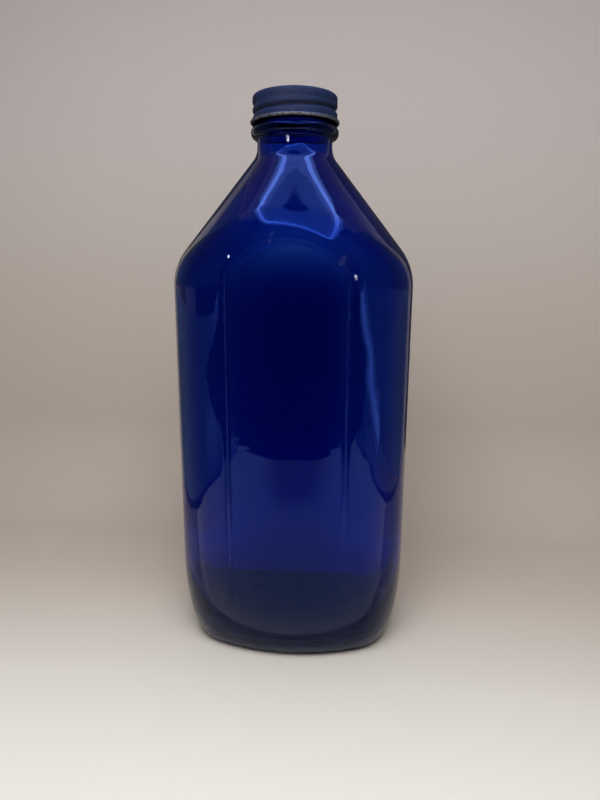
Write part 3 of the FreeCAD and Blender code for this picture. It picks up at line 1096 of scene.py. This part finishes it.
def cap_zones(tree, place):
    """Masks for the knurl's hollows, the rolled groove and the curl's outer edge."""
    axes = add_node(tree, "ShaderNodeSeparateXYZ", Vector=place).outputs
    height = axes["Z"]
    flat_place = add_node(tree, "ShaderNodeCombineXYZ", X=axes["X"], Y=axes["Y"])
    length = add_node(tree, "ShaderNodeVectorMath", {"operation": "LENGTH"})
    tree.links.new(flat_place.outputs[0], length.inputs[0])
    reach = length.outputs["Value"]

    above = ramp_between(tree, height, knurl_low, knurl_high - HOLLOW_HEIGHT)
    below = ramp_between(tree, height, knurl_high + KNURL_FADE, knurl_high)
    sunk = ramp_between(tree, reach, *(CAP_RADIUS - depth for depth in HOLLOW_DEPTHS))
    hollow = math_node(tree, "MULTIPLY", math_node(tree, "MULTIPLY", above, below), sunk)

    deep = ramp_between(tree, reach, *(CAP_RADIUS - depth for depth in GROOVE_DEPTHS))
    on_skirt = ramp_between(tree, height, *(cap_top - drop for drop in SKIRT_DROPS))
    groove = math_node(tree, "MULTIPLY", deep, on_skirt)

    low_edge = ramp_between(tree, height, *(cap_low.z + rise for rise in CURL_RISES))
    rolled = ramp_between(tree, reach, *(CAP_RADIUS + past for past in CURL_REACHES))
    return hollow, groove, math_node(tree, "MULTIPLY", low_edge, rolled)


print("knurl runs from", round(knurl_low / MM, 2), "to", round(knurl_high / MM, 2), "mm up")

# %% Painted tinplate
PAINT = (0.012, 0.021, 0.070, 1)
PAINT_WORN = (0.017, 0.027, 0.076, 1)
# Painted shade for the knurl's hollows, a little greener than the paint.
KNURL_HOLLOW_SHADE = (0.006, 0.013, 0.040, 1)
# Painted shade for the rolled groove.
GROOVE_SHADE = (0.006, 0.009, 0.026, 1)
BARE_TIN = (0.20, 0.22, 0.30, 1)
TIN_STAIN = (0.075, 0.07, 0.075, 1)
PAINT_GLOSS = 0.14
PAINT_ROUGHNESS = (0.42, 0.62)
BARE_SHINE = 0.85
BLOTCH_SCALE = 260.0
GRAIN_SCALE = 2600.0
SPECKLE_SCALE = 1100.0
WORN_BLOTCHES = (0.45, 0.7)
BARE_RAGGEDNESS = 0.7
BARE_EDGE = (0.82, 1.05)
STAIN_EDGE = (0.38, 0.62)
BLOTCH_RELIEF = 0.6
GRAIN_RELIEF = 0.25
PAINT_RELIEF_STRENGTH = 0.35
PAINT_RELIEF_DEPTH = 0.15 * MM


def painted_tinplate():
    """Dull blue paint, painted shade in the groove and knurl hollows, rubbed through to stained tin round the
    curl.
    """
    material, tree, output = new_material("painted_tinplate")
    place = add_node(tree, "ShaderNodeTexCoord").outputs["Object"]
    blotch, grain = add_mottle(tree, place, BLOTCH_SCALE, GRAIN_SCALE)
    hollow, groove, curl = cap_zones(tree, place)

    colour = mix_colours(tree, ramp_between(tree, blotch, *WORN_BLOTCHES), PAINT, PAINT_WORN)
    # Painted shade: darker and a little greener in the knurl's hollows.
    colour = mix_colours(tree, hollow, colour, KNURL_HOLLOW_SHADE)
    # Painted shade: darker in the rolled groove.
    colour = mix_colours(tree, groove, colour, GROOVE_SHADE)
    patchy = math_node(tree, "ADD", curl, math_node(tree, "MULTIPLY", blotch, BARE_RAGGEDNESS))
    bare = ramp_between(tree, patchy, *BARE_EDGE)
    speckle = add_node(tree, "ShaderNodeTexNoise", Vector=place, Scale=SPECKLE_SCALE, Detail=4.0)
    stained = ramp_between(tree, speckle.outputs["Fac"], *STAIN_EDGE)
    colour = mix_colours(tree, bare, colour, mix_colours(tree, stained, BARE_TIN, TIN_STAIN))

    low_rough, high_rough = PAINT_ROUGHNESS
    roughness = add_node(tree, "ShaderNodeMapRange", Value=blotch, To_Min=low_rough, To_Max=high_rough)
    relief = math_node(tree, "ADD", math_node(tree, "MULTIPLY", blotch, BLOTCH_RELIEF),
                       math_node(tree, "MULTIPLY", grain, GRAIN_RELIEF))
    bump = add_node(tree, "ShaderNodeBump", Strength=PAINT_RELIEF_STRENGTH, Distance=PAINT_RELIEF_DEPTH,
                    Height=relief)
    paint = add_node(tree, "ShaderNodeBsdfPrincipled", Base_Color=colour, Roughness=roughness.outputs[0],
                     Metallic=math_node(tree, "MULTIPLY", bare, BARE_SHINE), Normal=bump.outputs[0],
                     Specular_IOR_Level=PAINT_GLOSS)
    tree.links.new(paint.outputs[0], output.inputs["Surface"])
    return material


cap.data.materials.append(painted_tinplate())
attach(cap, "cap")
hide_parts("cap_shell")
print("cap is painted")

# %% [markdown]
# ## The liner
#
# A disc of grey pulpboard springs against the cap's top, and a thin waxed paper facing meets the glass rim.
# Each is a short cylinder with its sharp rims bevelled. They show only when the cap is off.

# %% Liner discs
LINER_SIDES = 128


def liner_disc(node, rounding):
    """A disc that fills a measured node's box, with bevelled rims."""
    low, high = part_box(node)
    radius = (high.x - low.x) / 2
    work = bmesh.new()
    bmesh.ops.create_cone(work, cap_ends=True, segments=LINER_SIDES, radius1=radius, radius2=radius,
                          depth=high.z - low.z, matrix=Matrix.Translation((0, 0, (low.z + high.z) / 2)))
    rims = [edge for edge in work.edges if abs(edge.verts[0].co.z - edge.verts[1].co.z) < MERGE_DISTANCE]
    bmesh.ops.bevel(work, geom=rims, offset=rounding, offset_type="OFFSET", affect="EDGES", segments=3,
                    profile=0.5, material=-1)
    return finished_piece(node + "_disc", work)


BOARD_ROUNDING = 0.15 * MM
FACING_ROUNDING = 0.03 * MM
board = liner_disc("liner_board", BOARD_ROUNDING)
facing = liner_disc("liner_facing", FACING_ROUNDING)
print("liner discs have", len(board.data.polygons), "and", len(facing.data.polygons), "faces")

# %% Card and waxed paper
TONE_EDGE = (0.38, 0.62)
CARD_RELIEF_STRENGTH = 0.5


def card_material(name, pale, dark, blotch_scale, grain_scale, relief, roughness):
    """A fibrous sheet: two tones mixed by its grain and blotches, with a little relief."""
    material, tree, output = new_material(name)
    place = add_node(tree, "ShaderNodeTexCoord").outputs["Object"]
    blotch, grain = add_mottle(tree, place, blotch_scale, grain_scale)
    both = math_node(tree, "MULTIPLY", math_node(tree, "ADD", blotch, grain), 0.5)
    colour = mix_colours(tree, ramp_between(tree, both, *TONE_EDGE), pale, dark)
    bump = add_node(tree, "ShaderNodeBump", Strength=CARD_RELIEF_STRENGTH, Distance=relief, Height=both)
    sheet_shader = add_node(tree, "ShaderNodeBsdfPrincipled", Base_Color=colour, Roughness=roughness,
                            Normal=bump.outputs[0])
    tree.links.new(sheet_shader.outputs[0], output.inputs["Surface"])
    return material


BOARD_TONES = ((0.42, 0.36, 0.28, 1), (0.30, 0.25, 0.19, 1))
FACING_TONES = ((0.72, 0.66, 0.52, 1), (0.60, 0.53, 0.39, 1))
board.data.materials.append(card_material("pulpboard", *BOARD_TONES, blotch_scale=180.0, grain_scale=1800.0,
                                          relief=0.2 * MM, roughness=0.9))
facing.data.materials.append(card_material("coated_paper", *FACING_TONES, blotch_scale=150.0,
                                           grain_scale=2400.0, relief=0.04 * MM, roughness=0.45))
for piece, node, slot_name in ((board, "liner_board", "pulpboard"), (facing, "liner_facing", "coated_paper")):
    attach(piece, "liner")
    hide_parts(node)
print("liner is dressed")
